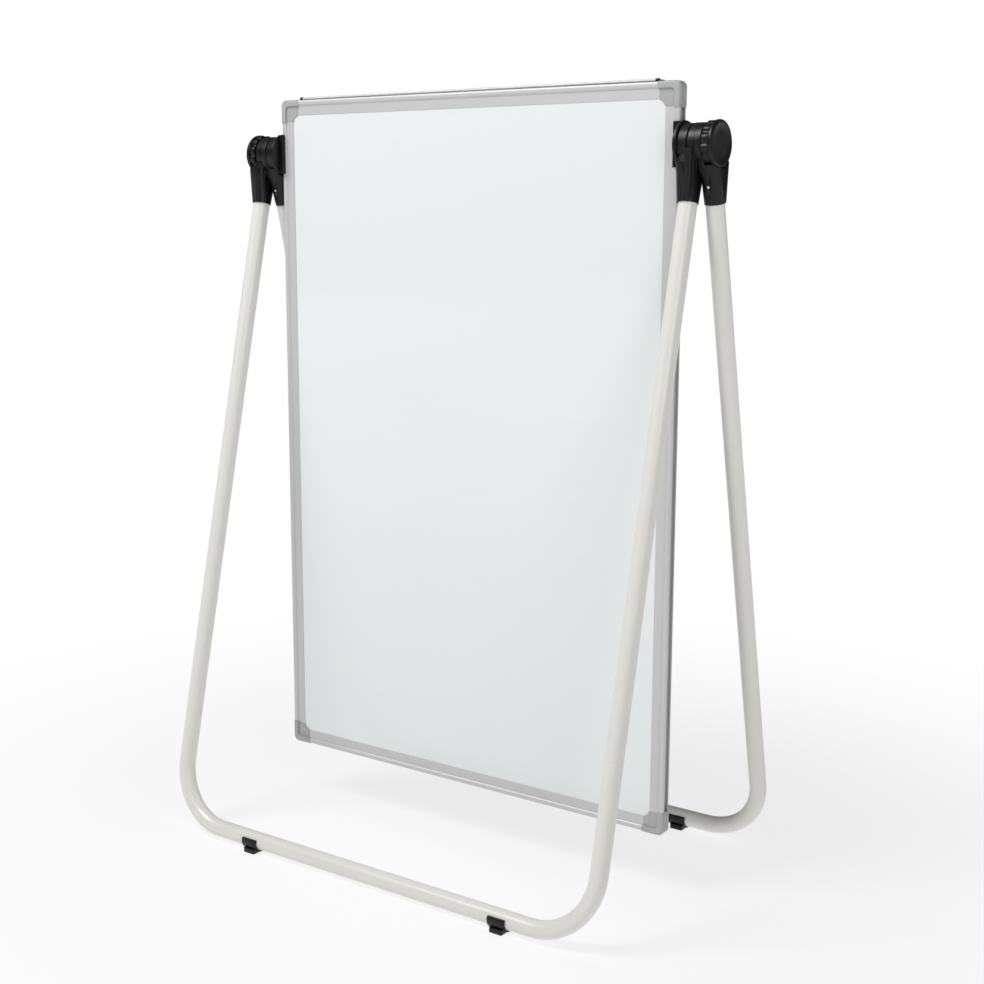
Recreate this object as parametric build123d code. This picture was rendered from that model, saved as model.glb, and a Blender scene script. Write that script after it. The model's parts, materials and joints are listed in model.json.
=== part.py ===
from build123d import *
import os
from math import asin, cos, degrees, radians, sin

# Double-sided whiteboard on a folding stand of two U-shaped tubes.
# Millimetres. X runs along the board to the right, Y away from the viewer, Z up.
# The origin lies on the floor under the middle of the stand.

# ---- Driving dimensions: board ----
board_width = 606.0        # over the corner caps
board_height = 900.0       # over the corner caps
board_thickness = 17.0     # over the corner caps
cap_proud = 0.5            # how far a corner cap stands out of the rails all round
lip_width = 20.0           # width of the frame seen from the front
bead_width = 7.5           # outer raised bead of the frame
bead_round = 3.0           # rounding of the bead
step_depth = 1.4           # from the bead down to the flat inner face
flange_thickness = 1.2     # flat inner face of a rail
panel_cover = 8.0          # how far the frame covers the panel
sheet_thickness = 0.5
pocket_clearance = 0.1     # between the panel and its pocket, each side
cap_length = 30.0          # corner cap along each rail
cap_step = 2.0             # the cap's flat face ends this much before its bead
cap_corner_round = 8.0     # outer corner of a cap
cap_window_round = 11.0    # corner of the writing surface
cap_gap = 0.15             # joint line between a cap and a rail
tongue_length = 22.0       # a cap's tongue inside a rail
tongue_clearance = 0.15
tongue_root = 1.0          # how far a tongue starts inside its cap

# ---- Driving dimensions: channel in the outer edge of the rails ----
slot_width = 6.5
slot_lip = 1.4             # thickness of the lips that hold the sliding nut
channel_width = 11.0
channel_depth = 5.2        # behind the lips
channel_wall = 1.5         # behind the channel
chamber_depth = 2.6        # closed chamber that takes the cap tongues
chamber_width = 10.6

# ---- Driving dimensions: stand ----
tube_diameter = 22.0
tube_wall = 1.2
bend_radius = 80.0         # centreline of the tube
leg_length = 912.5         # pivot to the axis of the bottom bar, along the leg
spread_half_angle = 12.85  # each leg from upright, in degrees
tube_inset = 5.0           # tube axis inside the pivot axis, seen from the side
hub_gap = 25.5             # edge of the board to the middle plane of each hub
socket_offset = 12.2       # tube axis to the middle plane of its hub
pivot_drop = 71.0          # board top to the pivot axis

# ---- Driving dimensions: leg sockets ----
mating_gap = 0.4           # between the two sockets of a hub
eye_radius = 24.0
eye_thickness = 8.3
eye_round = 1.2
collar_radius = 12.5
collar_round = 12.0        # upright corners of the collar
collar_top = 40.0          # distances below the pivot, along the leg
collar_bottom = 66.0
shoulder_top = 25.0
shoulder_width = 36.0
tube_top = 36.0
tube_fit = 0.05
rib_top = 14.0
rib_bottom = 64.0
rib_width = 8.0
rib_height = 2.6
rib_taper = 0.35           # width and height at the lower end, as a share of the upper
stop_radius = 17.0         # middle of the stop lug
stop_width = 5.0
stop_height = 1.6
stop_arc = 14.0            # degrees
stop_clearance = 0.3

# ---- Driving dimensions: hub ----
jaw_height = 50.0
jaw_reach = 9.0            # how far a jaw laps over the face of a rail
jaw_thickness = 2.6
jaw_clearance = 0.25
jaw_round = 1.0
web_thickness = 3.0
flange_radius = 27.4
flange_depth = 3.5
drum_radius = 21.0
spigot_radius = 8.0
spigot_fit = 0.08
bolt_diameter = 6.0
bolt_fit = 0.06
bolt_head_radius = 4.6
bolt_head_height = 2.0
bolt_end_gap = 1.0         # between the bolt's end and the bottom of the insert
nut_length = 44.0
nut_thickness = 4.0
nut_clearance = 0.35
washer_thickness = 1.0
washer_gap = 0.1
drum_washer_radius = 17.0
knob_washer_radius = 11.0

# ---- Driving dimensions: knobs ----
grip_radius = 23.0
grip_depth = 8.6
grip_flutes = 12
flute_radius = 3.4
knob_radius = 26.8
knob_depth = 5.2
knob_round = 2.2
insert_radius = 6.5
insert_depth = 7.0

# ---- Driving dimensions: feet ----
foot_left_inset = 140.5    # from the axis of the nearer leg
foot_right_inset = 121.5
clip_length = 24.0
clip_wall = 2.2
clip_fit = 0.1
clip_lip = 4.5             # walls reach this far above the tube axis
pad_length = 18.0
pad_width = 27.0
pad_drop = 3.5             # pad thickness under the tube
pad_height = 6.0
pad_round = 1.5
folded_gap = 0.9           # between the clips when the stand is shut

# ---- Driving dimensions: small fasteners ----
screw_head_radius = 2.8
screw_head_height = 1.6
screw_shank_radius = 1.5
screw_fit = 0.05
screw_head_clearance = 0.3
cap_screw_length = 4.0
socket_screw_length = 5.0
socket_screw_seat = 0.5    # flat for the screw head, below the crown of the collar
cap_screw_set = 4.4        # cap end to the screw that holds its tongue
spare_hole_radius = 1.2
spare_hole_pitch = 4.3
height_stop_drop = 399.0   # pivot to the height stop screw
socket_screw_drop = 45.0   # pivot to the tube screw, along the leg

# ---- Driving dimensions: flip-chart strip on the back of the top rail ----
strip_end_gap = 1.0        # between a corner cap and the plug on the strip's end
strip_thickness = 2.2
strip_height = 26.0
strip_top_depth = 10.0
strip_bead_radius = 1.7
strip_clearance = 0.1
strip_screw_inset = 28.0   # from each end of the strip
plug_length = 4.0
plug_wall = 0.4

# ---- How far a cutting shape runs past the face that it opens ----
cut_margin = 1.0

# ---- Derived values ----
cap_face = board_thickness / 2
rail_face = cap_face - cap_proud
rail_flat = rail_face - step_depth
panel_face = rail_flat - flange_thickness
rail_side = board_width / 2 - cap_proud
hub_offset = board_width / 2 + hub_gap
channel_floor = slot_lip + channel_depth
chamber_start = channel_floor + channel_wall
pocket_start = lip_width - cap_proud - panel_cover
tube_radius = tube_diameter / 2
bar_reach = (leg_length * sin(radians(spread_half_angle))
             - tube_inset * cos(radians(spread_half_angle)))
bar_drop = (leg_length * cos(radians(spread_half_angle))
            + tube_inset * sin(radians(spread_half_angle)))
bar_height = tube_radius + pad_drop
pivot_height = bar_height + bar_drop
board_centre = pivot_height + pivot_drop - board_height / 2
clip_radius = tube_radius + clip_fit + clip_wall
folded_half_angle = degrees(asin((clip_radius + folded_gap / 2 + tube_inset) / leg_length))
fold_travel = 2 * (spread_half_angle - folded_half_angle)
eye_inner = mating_gap / 2
eye_outer = eye_inner + eye_thickness
bolt_radius = bolt_diameter / 2
web_inner = rail_side + jaw_clearance
web_outer = web_inner + web_thickness
drum_end = hub_offset - eye_outer - washer_thickness - 2 * washer_gap
knob_start = hub_offset + eye_outer + washer_thickness + 2 * washer_gap
grip_end = knob_start + grip_depth
knob_end = grip_end + knob_depth
strip_length = board_width - 2 * (cap_length + strip_end_gap + plug_length)
strip_screw_length = strip_thickness + strip_clearance + step_depth + flange_thickness


def block(x, y, z):
    """A box between two corners given as (low, high) pairs."""
    size = [pair[1] - pair[0] for pair in (x, y, z)]
    middle = [(pair[1] + pair[0]) / 2 for pair in (x, y, z)]
    return Pos(*middle) * Box(*size)


def rod(radius, start, end):
    """A cylinder along X between two places."""
    return Pos((start + end) / 2, 0, 0) * Rot(0, 90, 0) * Cylinder(radius, abs(end - start))


def ring(outer, inner, start, end):
    """A washer or sleeve along X."""
    return rod(outer, start, end) - rod(inner, start, end)


def arc_block(radius, width, depth, start_angle, arc):
    """A curved block about X, on the positive side of X = 0; angles turn from +Y to +Z."""
    profile = Plane.XY * Pos(depth / 2, radius) * Rectangle(depth, width)
    return Rot(start_angle, 0, 0) * revolve(profile, Axis.X, arc)


def pan_screw(length):
    """A pan-head screw pointing down -Z, with the seat of its head at the origin."""
    head = Cylinder(screw_head_radius, screw_head_height,
                    align=(Align.CENTER, Align.CENTER, Align.MIN))
    head = fillet(head.edges().group_by(Axis.Z)[-1], screw_head_height / 2)
    shank = Cylinder(screw_shank_radius, length,
                     align=(Align.CENTER, Align.CENTER, Align.MAX))
    return head + shank


def screw_hole(length):
    """The hole for a screw, with the seat of its head at the origin."""
    return Cylinder(screw_shank_radius + screw_fit, length + screw_fit,
                    align=(Align.CENTER, Align.CENTER, Align.MAX))


def from_pivot(shape):
    """Moves a shape made about the pivot axis to its height in the stand."""
    return Pos(0, 0, pivot_height) * shape


def front_leg_place(shape):
    """Leans a shape made on an upright leg into the front leg's place."""
    return from_pivot(Rot(-spread_half_angle, 0, 0) * shape)


def rear_leg_place(shape):
    """The rear leg is the front leg turned half round the stand."""
    return Rot(0, 0, 180) * front_leg_place(shape)


def both_sides(name, shape):
    """A right-hand shape and its mirror image on the left, by name."""
    return {f"right_{name}": shape, f"left_{name}": mirror(shape, about=Plane.YZ)}


# ---- Stand ----

def leg_tube():
    """One U-shaped tube on an upright leg, with its legs to the left of their hubs."""
    left = -hub_offset - socket_offset
    right = hub_offset - socket_offset
    corners = [(left, tube_inset, -tube_top), (left, tube_inset, -leg_length),
               (right, tube_inset, -leg_length), (right, tube_inset, -tube_top)]
    path = FilletPolyline(*corners, radius=bend_radius)
    start = Plane(origin=corners[0], z_dir=(0, 0, -1))
    section = start * (Circle(tube_radius) - Circle(tube_radius - tube_wall))
    body = sweep(section, path=path)
    for hub in (-hub_offset, hub_offset):
        body -= Pos(hub, 0, 0) * socket_screw_place() * screw_hole(socket_screw_length)
    return body


def leg_socket():
    """The moulded socket that joins a leg to its hub, with the pivot at the origin."""
    eye = rod(eye_radius, -eye_outer, -eye_inner)
    eye = fillet(eye.edges().group_by(Axis.X)[0], eye_round)
    upper = Pos(-(eye_outer + eye_inner) / 2, 0) * RectangleRounded(
        eye_thickness, shoulder_width, eye_round)
    collar_reach = socket_offset + collar_radius - eye_inner
    lower = Pos(-collar_reach / 2 - eye_inner, tube_inset) * RectangleRounded(
        collar_reach, 2 * collar_radius, collar_round)
    neck = Pos(0, 0, -shoulder_top) * extrude(upper, shoulder_top)
    shoulder = loft([Pos(0, 0, -shoulder_top) * upper, Pos(0, 0, -collar_top) * lower])
    collar = Pos(0, 0, -collar_bottom) * extrude(lower, collar_bottom - collar_top)
    bore = Pos(-socket_offset, tube_inset, -collar_bottom) * Cylinder(
        tube_radius + tube_fit, collar_bottom - tube_top,
        align=(Align.CENTER, Align.CENTER, Align.MIN))
    pivot_hole = rod(spigot_radius + spigot_fit, -eye_outer, 0)
    seat = socket_screw_place() * Cylinder(
        screw_head_radius + screw_head_clearance, screw_head_height,
        align=(Align.CENTER, Align.CENTER, Align.MIN))
    screw = socket_screw_place() * screw_hole(socket_screw_length)
    return eye + neck + shoulder + collar + socket_rib() - bore - pivot_hole - seat - screw


def socket_rib():
    """The tapering blade down the outer face of a socket."""
    upper_face = -shoulder_width / 2 - rib_height
    lower_face = tube_inset - collar_radius - rib_height * rib_taper
    upper = Pos(-(eye_outer + eye_inner) / 2, upper_face + rib_width / 2, -rib_top)
    lower = Pos(-socket_offset, lower_face + rib_width / 2, -rib_bottom)
    return loft([upper * Rectangle(rib_width, rib_width),
                 lower * Rectangle(rib_width * rib_taper, rib_width)])


def socket_screw_place():
    """Where the tube screw sits, on the side of the socket that faces the other leg."""
    seat = tube_inset + collar_radius - socket_screw_seat
    return Pos(-socket_offset, seat, -socket_screw_drop) * Rot(-90, 0, 0)


def stop_lug():
    """The lug on a front socket that stops the stand from opening further."""
    start = 90 + spread_half_angle - stop_arc / 2
    depth = stop_height + eye_inner
    return Pos(-eye_inner, 0, 0) * arc_block(stop_radius, stop_width, depth, start, stop_arc)


def stop_groove():
    """The groove that the lug runs in, about a hub's pivot, with the stand open."""
    width = stop_width + 2 * stop_clearance
    spare = degrees(stop_clearance / stop_radius)
    arc = stop_arc + fold_travel + 2 * spare
    depth = stop_height + stop_clearance
    return arc_block(stop_radius, width, depth, 90 - stop_arc / 2 - spare, arc)


def stand_tubes():
    return {"front_leg_tube": front_leg_place(leg_tube()),
            "rear_leg_tube": rear_leg_place(leg_tube())}


def stand_sockets():
    """The four sockets; those of the rear leg are the front ones turned half round."""
    pieces = {}
    front = leg_socket() + stop_lug()
    for side, hub in (("left", -hub_offset), ("right", hub_offset)):
        pieces[f"front_{side}_leg_socket"] = front_leg_place(Pos(hub, 0, 0) * front)
        rear = rear_leg_place(Pos(-hub, 0, 0) * leg_socket())
        groove = from_pivot(Pos(hub, 0, 0) * stop_groove())
        pieces[f"rear_{side}_leg_socket"] = rear - groove
    return pieces


def stand_screws():
    """The screws that hold the tubes in their sockets."""
    pair = Compound([Pos(hub, 0, 0) * socket_screw_place() * pan_screw(socket_screw_length)
                     for hub in (-hub_offset, hub_offset)])
    return {"front_socket_screws": front_leg_place(pair),
            "rear_socket_screws": rear_leg_place(pair)}


def foot_clip():
    """A snap-on foot about the axis of the bottom bar."""
    cut = clip_length / 2
    shell = rod(clip_radius, -cut, cut)
    pad = block((-pad_length / 2, pad_length / 2), (-pad_width / 2, pad_width / 2),
                (-bar_height, pad_height - bar_height))
    pad = fillet(pad.edges().filter_by(Axis.Z), pad_round)
    bore = rod(tube_radius + clip_fit, -cut, cut)
    mouth = block((-cut, cut), (-clip_radius, clip_radius), (clip_lip, clip_radius))
    return shell + pad - bore - mouth


def foot_clips():
    """The four snap-on feet, two on each bottom bar."""
    pieces = {}
    for end, side in (("front", -1), ("rear", 1)):
        middle = side * socket_offset
        left = middle - hub_offset + foot_left_inset
        right = middle + hub_offset - foot_right_inset
        for name, x in (("left", left), ("right", right)):
            pieces[f"{end}_{name}_foot_clip"] = Pos(x, side * bar_reach, bar_height) * foot_clip()
    return pieces


# ---- Hubs ----

def rail_clamp():
    """The right-hand clamp: two jaws over the rail, a flange, a drum and the pivot spigot."""
    jaw_face = rail_face + jaw_clearance + jaw_thickness
    outer = block((rail_side - jaw_reach, web_outer), (-jaw_face, jaw_face),
                  (-jaw_height / 2, jaw_height / 2))
    outer = fillet(outer.edges().filter_by(Axis.Z), jaw_round)
    inner = block((rail_side - jaw_reach - cut_margin, web_inner),
                  (-rail_face - jaw_clearance, rail_face + jaw_clearance),
                  (-jaw_height / 2, jaw_height / 2))
    flange = rod(flange_radius, web_outer - web_thickness / 2, web_outer + flange_depth)
    flange = fillet(flange.edges().filter_by(GeomType.CIRCLE), eye_round)
    drum = rod(drum_radius, web_outer, drum_end)
    spigot = rod(spigot_radius, drum_end, hub_offset + eye_outer - washer_gap)
    hole = rod(bolt_radius + bolt_fit, web_inner - cut_margin, knob_end)
    return from_pivot(outer - inner + flange + drum + spigot - hole)


def slide_nut():
    """The plate in the rail's channel that the clamp bolt pulls against its lips."""
    half_width = channel_width / 2 - nut_clearance
    top = rail_side - slot_lip - nut_clearance
    plate = block((top - nut_thickness, top), (-half_width, half_width),
                  (-nut_length / 2, nut_length / 2))
    half_neck = slot_width / 2 - nut_clearance
    neck = block((top, web_inner), (-half_neck, half_neck), (-nut_length / 2, nut_length / 2))
    hole = rod(bolt_radius + bolt_fit, top - nut_thickness, web_inner)
    seat = rod(bolt_head_radius + bolt_fit, top - nut_thickness,
               top - nut_thickness + bolt_head_height)
    return from_pivot(plate + neck - hole - seat)


def clamp_bolt():
    """The bolt through the nut, the clamp, both sockets and the knob."""
    head_start = rail_side - slot_lip - nut_clearance - nut_thickness
    head = rod(bolt_head_radius, head_start, head_start + bolt_head_height)
    shank = rod(bolt_radius, head_start, knob_start + insert_depth - bolt_end_gap)
    return from_pivot(head + shank)


def hub_washers():
    """The washer between drum and socket, and the one under the knob."""
    inner = ring(drum_washer_radius, spigot_radius + spigot_fit,
                 drum_end + washer_gap, drum_end + washer_gap + washer_thickness)
    outer = ring(knob_washer_radius, bolt_radius + spigot_fit,
                 knob_start - washer_gap - washer_thickness, knob_start - washer_gap)
    return from_pivot(Compound([inner, outer]))


def knob_grip():
    """The fluted inner part of a knob, moulded round its threaded insert."""
    body = rod(grip_radius, knob_start, grip_end)
    flute = Pos(0, 0, grip_radius + flute_radius / 2) * rod(flute_radius, knob_start, grip_end)
    for turn in range(grip_flutes):
        body -= Rot(turn * 360 / grip_flutes, 0, 0) * flute
    bore = rod(insert_radius, knob_start, knob_start + insert_depth)
    return from_pivot(body - bore)


def knob_insert():
    sleeve = ring(insert_radius, bolt_radius + bolt_fit, knob_start, knob_start + insert_depth)
    return from_pivot(sleeve)


def knob_cover():
    """The smooth round cover that closes the knob."""
    disc = rod(knob_radius, grip_end, knob_end)
    disc = fillet(disc.edges().group_by(Axis.X)[-1], knob_round)
    disc = fillet(disc.edges().group_by(Axis.X)[0], eye_round)
    return from_pivot(disc)


# ---- Board ----

def rail_profile():
    """Section of a rail: X is the distance inwards from its outer edge, Y the thickness."""
    bead = Pos(bead_width / 2, 0) * RectangleRounded(bead_width, 2 * rail_face, bead_round)
    flat_start = bead_width / 2
    flat_end = lip_width - cap_proud
    flat = Pos((flat_start + flat_end) / 2, 0) * Rectangle(flat_end - flat_start, 2 * rail_flat)
    flat = fillet(flat.vertices().group_by(Axis.X)[-1], flange_thickness / 2)
    slot = Pos(slot_lip / 2, 0) * Rectangle(slot_lip, slot_width)
    channel = Pos(slot_lip + channel_depth / 2, 0) * Rectangle(channel_depth, channel_width)
    chamber = Pos(chamber_start + chamber_depth / 2, 0) * Rectangle(chamber_depth, chamber_width)
    pocket = Pos((pocket_start + lip_width) / 2, 0) * Rectangle(
        lip_width - pocket_start, 2 * (panel_face + pocket_clearance / 2))
    return bead + flat - slot - channel - chamber - pocket


def rail(length, edge, extra_holes=()):
    """A rail with its length along X and its outer edge at Z = edge."""
    flat_half = length / 2 + cap_step
    section = Plane(origin=(-flat_half, 0, edge), x_dir=(0, 0, -1), z_dir=(1, 0, 0))
    body = extrude(section * rail_profile(), 2 * flat_half)
    for end in (-1, 1):
        beyond = sorted((end * length / 2, end * (flat_half + cut_margin)))
        body -= block(beyond, (-cap_face, cap_face), (edge - bead_width, edge + cut_margin))
        screw = length / 2 + cap_gap - cap_screw_set
        body -= channel_hole(end * screw, screw_shank_radius + screw_fit, edge)
        body -= channel_hole(end * (screw - spare_hole_pitch), spare_hole_radius, edge)
        body -= channel_hole(end * (screw - 2 * spare_hole_pitch), spare_hole_radius, edge)
    for x in extra_holes:
        body -= channel_hole(x, screw_shank_radius + screw_fit, edge)
    return body


def channel_hole(x, radius, edge):
    """A hole through the floor of a rail's channel."""
    return Pos(x, 0, edge - channel_floor - channel_wall / 2) * Cylinder(
        radius, channel_wall + screw_fit)


def channel_screw(x, edge):
    """A screw seated on the floor of a rail's channel."""
    return Pos(x, 0, edge - channel_floor) * pan_screw(cap_screw_length)


def in_board(shape):
    """Moves a shape made about the middle of the board to its height."""
    return Pos(0, 0, board_centre) * shape


def turned_to(side, shape):
    """Turns a shape made for the top edge of the board to another edge."""
    turns = {"top": Rot(0, 0, 0), "bottom": Rot(0, 180, 0),
             "right": Rot(0, 90, 0), "left": Rot(0, -90, 0)}
    return in_board(turns[side] * shape)


def rail_length(side):
    whole = board_width if side in ("top", "bottom") else board_height
    return whole - 2 * (cap_length + cap_gap)


def rail_edge(side):
    whole = board_height if side in ("top", "bottom") else board_width
    return whole / 2 - cap_proud


def height_stop_place(side):
    """Where the height stop lies along a side rail that is still made as a top rail."""
    along = height_stop_drop + pivot_drop - board_height / 2
    return along if side == "right" else -along


def frame_rails():
    """The four rails by name, the side ones with a hole for the height stop."""
    pieces = {}
    for side in ("top", "bottom", "left", "right"):
        stops = [height_stop_place(side)] if side in ("left", "right") else []
        pieces[f"{side}_rail"] = turned_to(side, rail(rail_length(side), rail_edge(side), stops))
    for place in strip_screw_places():
        pieces["top_rail"] -= in_board(place * screw_hole(strip_screw_length))
    return pieces


def cap_screws():
    """The screws that hold the cap tongues, two in each rail."""
    screws = []
    for side in ("top", "bottom", "right", "left"):
        x = rail_length(side) / 2 + cap_gap - cap_screw_set
        for end in (-x, x):
            screws.append(turned_to(side, channel_screw(end, rail_edge(side))))
    return Compound(screws)


def height_stop_screws():
    """The screws that stop the board from sliding off the clamps."""
    screws = [turned_to(side, channel_screw(height_stop_place(side), rail_edge(side)))
              for side in ("left", "right")]
    return Compound(screws)


def nearest_corner(shape):
    """The corner or upright edge of a shape that lies nearest the origin."""
    return shape.sort_by_distance((0, 0, 0))[0]


def corner_shape(length, width, inner_round):
    """An L-shaped face along +X and +Y, with a rounded inner corner."""
    outer = Pos(length / 2, length / 2) * Rectangle(length, length)
    window = Pos(width + length / 2, width + length / 2) * Rectangle(length, length)
    return outer - fillet(nearest_corner(window.vertices()), inner_round)


def cap_blank(half_thickness, edge_round):
    """A slab in the first quadrant, rounded on its outer corner and its outer edges."""
    size = cap_length + tongue_length
    slab = block((0, size), (0, size), (-half_thickness, half_thickness))
    slab = fillet(nearest_corner(slab.edges().filter_by(Axis.Z)), cap_corner_round)
    return fillet(slab.faces().filter_by(Axis.Z).edges(), edge_round)


def corner_cap():
    """A cap made with its outer corner at the origin, running along +X and +Y."""
    bead = corner_shape(cap_length, bead_width + cap_proud, cap_corner_round - bead_round)
    flat = corner_shape(cap_length - cap_step, lip_width, cap_window_round)
    body = cap_blank(cap_face, bead_round) & extrude(bead, cap_face, both=True)
    body += (cap_blank(rail_flat + cap_proud, flange_thickness / 2)
             & extrude(flat, cap_face, both=True))
    start = pocket_start + cap_proud
    half_pocket = panel_face + pocket_clearance / 2
    body -= block((start, cap_length), (start, cap_length), (-half_pocket, half_pocket))
    low = cap_proud + chamber_start + tongue_clearance
    across = (low, low + chamber_depth - 2 * tongue_clearance)
    along = (cap_length - cap_step - tongue_root, cap_length + tongue_length)
    half = (tongue_clearance - chamber_width / 2, chamber_width / 2 - tongue_clearance)
    body += block(along, across, half) + block(across, along, half)
    screw = cap_length + cap_screw_set
    hole = Cylinder(screw_shank_radius + screw_fit, cap_length)
    body -= Pos(screw, 0, 0) * Rot(90, 0, 0) * hole
    return body - Pos(0, screw, 0) * Rot(0, 90, 0) * hole


def corner_caps():
    """The four corner caps by name."""
    corner = Pos(-board_width / 2, 0, -board_height / 2) * Rot(90, 0, 0) * corner_cap()
    pieces = both_sides("bottom_corner_cap", mirror(corner, about=Plane.YZ))
    pieces |= both_sides("top_corner_cap", mirror(mirror(corner, about=Plane.YZ), about=Plane.XY))
    return {name: in_board(cap) for name, cap in pieces.items()}


def panel_half_sizes():
    inset = cap_proud + pocket_start + pocket_clearance
    return board_width / 2 - inset, board_height / 2 - inset


def writing_sheet(side):
    """A steel sheet in the plane of the board; side is -1 for the front, 1 for the back."""
    half_width, half_height = panel_half_sizes()
    depth = sorted((side * panel_face, side * (panel_face - sheet_thickness)))
    return in_board(block((-half_width, half_width), depth, (-half_height, half_height)))


def panel_core():
    half_width, half_height = panel_half_sizes()
    half_depth = panel_face - sheet_thickness
    return in_board(block((-half_width, half_width), (-half_depth, half_depth),
                          (-half_height, half_height)))


# ---- Flip-chart strip ----

def strip_profile():
    """Section of the strip with the rear top edge of the rail at the origin, X to the back."""
    leg = block_sketch(strip_clearance, strip_clearance + strip_thickness,
                       -strip_height, strip_clearance + strip_thickness)
    cover = block_sketch(-strip_top_depth, strip_clearance + strip_thickness,
                         strip_clearance, strip_clearance + strip_thickness)
    bead = Pos(-strip_top_depth, strip_clearance + strip_bead_radius) * Circle(strip_bead_radius)
    return leg + cover + bead


def block_sketch(left, right, low, high):
    return Pos((left + right) / 2, (low + high) / 2) * Rectangle(right - left, high - low)


def strip_plane(x):
    """The plane of the strip's section at a place along the board."""
    return Plane(origin=(x, rail_face, rail_edge("top")), x_dir=(0, 1, 0), z_dir=(1, 0, 0))


def flip_chart_strip():
    """The strip that hooks over the top rail and carries a paper pad behind the board."""
    body = extrude(strip_plane(-strip_length / 2) * strip_profile(), strip_length)
    for place in strip_screw_places():
        body -= place * screw_hole(strip_screw_length)
    return in_board(body)


def strip_screw_places():
    """Where the strip's screws seat, on its back."""
    back = rail_face + strip_clearance + strip_thickness
    height = rail_edge("top") - (bead_width + lip_width) / 2
    outer = strip_length / 2 - strip_screw_inset
    return [Pos(x, back, height) * Rot(-90, 0, 0)
            for x in (-outer, 0, outer)]


def strip_screws():
    return in_board(Compound([place * pan_screw(strip_screw_length)
                              for place in strip_screw_places()]))


def strip_plugs():
    """The two plastic plugs on the ends of the strip."""
    section = offset(strip_profile(), plug_wall)
    section -= block_sketch(-2 * strip_top_depth, 0, -2 * strip_height, strip_clearance)
    plugs = [extrude(strip_plane(start) * section, plug_length)
             for start in (-strip_length / 2 - plug_length, strip_length / 2)]
    return in_board(Compound(plugs))


# ---- All the pieces ----

def hub_pieces():
    """The pieces of both hubs, made for the right and mirrored."""
    shapes = {"rail_clamp": rail_clamp(), "slide_nut": slide_nut(), "clamp_bolt": clamp_bolt(),
              "hub_washers": hub_washers(), "knob_grip": knob_grip(),
              "knob_insert": knob_insert(), "knob_cover": knob_cover()}
    pieces = {}
    for name, shape in shapes.items():
        pieces |= both_sides(name, shape)
    return pieces


def board_pieces():
    """The panel, its frame and the strip on its back."""
    pieces = {"front_writing_sheet": writing_sheet(-1), "rear_writing_sheet": writing_sheet(1),
              "panel_core": panel_core()}
    pieces |= frame_rails() | corner_caps()
    pieces |= {"corner_cap_screws": cap_screws(), "height_stop_screws": height_stop_screws()}
    return pieces | {"flip_chart_strip": flip_chart_strip(), "strip_end_plugs": strip_plugs(),
                     "strip_screws": strip_screws()}


def main():
    os.makedirs("parts", exist_ok=True)
    pieces = stand_tubes() | stand_sockets() | stand_screws() | foot_clips()
    pieces |= hub_pieces() | board_pieces()
    for name, shape in pieces.items():
        export_step(shape, f"parts/{name}.step")


main()
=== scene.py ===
import json
from math import atan2, cos, hypot, pi, radians, sin

import bmesh
import bpy
from bpy.props import FloatProperty, FloatVectorProperty, IntProperty, PointerProperty
from mathutils import Matrix, Vector

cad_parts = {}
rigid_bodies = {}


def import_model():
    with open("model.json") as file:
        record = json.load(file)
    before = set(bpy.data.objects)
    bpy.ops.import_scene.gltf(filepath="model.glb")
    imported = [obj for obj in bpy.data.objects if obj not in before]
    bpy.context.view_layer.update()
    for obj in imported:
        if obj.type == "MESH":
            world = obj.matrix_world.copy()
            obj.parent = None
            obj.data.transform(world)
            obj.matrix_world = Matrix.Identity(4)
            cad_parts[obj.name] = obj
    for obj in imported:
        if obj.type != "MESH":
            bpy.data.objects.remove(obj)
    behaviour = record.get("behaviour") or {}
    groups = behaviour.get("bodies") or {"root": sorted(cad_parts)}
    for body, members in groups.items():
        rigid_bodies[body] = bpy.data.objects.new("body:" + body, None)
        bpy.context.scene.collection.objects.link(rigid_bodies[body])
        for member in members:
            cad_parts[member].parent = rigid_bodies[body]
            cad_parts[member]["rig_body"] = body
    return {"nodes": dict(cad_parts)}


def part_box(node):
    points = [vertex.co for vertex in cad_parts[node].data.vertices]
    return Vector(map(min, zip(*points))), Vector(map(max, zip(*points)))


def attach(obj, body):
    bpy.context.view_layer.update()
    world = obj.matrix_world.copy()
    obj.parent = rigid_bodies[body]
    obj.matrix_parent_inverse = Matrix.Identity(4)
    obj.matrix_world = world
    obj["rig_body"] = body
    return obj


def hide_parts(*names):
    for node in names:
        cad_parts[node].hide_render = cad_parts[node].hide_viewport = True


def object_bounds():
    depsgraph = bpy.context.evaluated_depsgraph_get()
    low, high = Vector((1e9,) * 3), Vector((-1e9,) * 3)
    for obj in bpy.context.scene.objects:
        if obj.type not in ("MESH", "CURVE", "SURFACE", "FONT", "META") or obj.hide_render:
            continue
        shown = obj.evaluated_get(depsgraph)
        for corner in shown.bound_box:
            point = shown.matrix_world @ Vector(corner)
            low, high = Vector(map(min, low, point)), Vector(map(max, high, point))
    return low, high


bl_info = {
    "name": "Whiteboard Easel",
    "version": (1, 0, 0),
    "blender": (4, 5, 0),
    "location": "3D View > Sidebar > Easel",
    "description": "Finishes and fine detail for a whiteboard on a folding tube stand",
    "category": "Object",
}

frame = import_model()
cad_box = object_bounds()
nodes = frame["nodes"]

X_AXIS, Y_AXIS, Z_AXIS = Vector((1, 0, 0)), Vector((0, 1, 0)), Vector((0, 0, 1))
SIDES = ("left", "right")
ENDS = ("front", "rear")


# ---- Sizes and colours that a user may change ----

def length(name, description, default, low=0.0):
    return FloatProperty(name=name, description=description, default=default, min=low,
                         subtype="DISTANCE", unit="LENGTH", precision=5)


def angle(name, description, degrees):
    return FloatProperty(name=name, description=description, default=radians(degrees),
                         subtype="ANGLE", unit="ROTATION")


def power(name, description, default):
    return FloatProperty(name=name, description=description, default=default, min=0.0,
                         subtype="POWER", unit="POWER")


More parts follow.
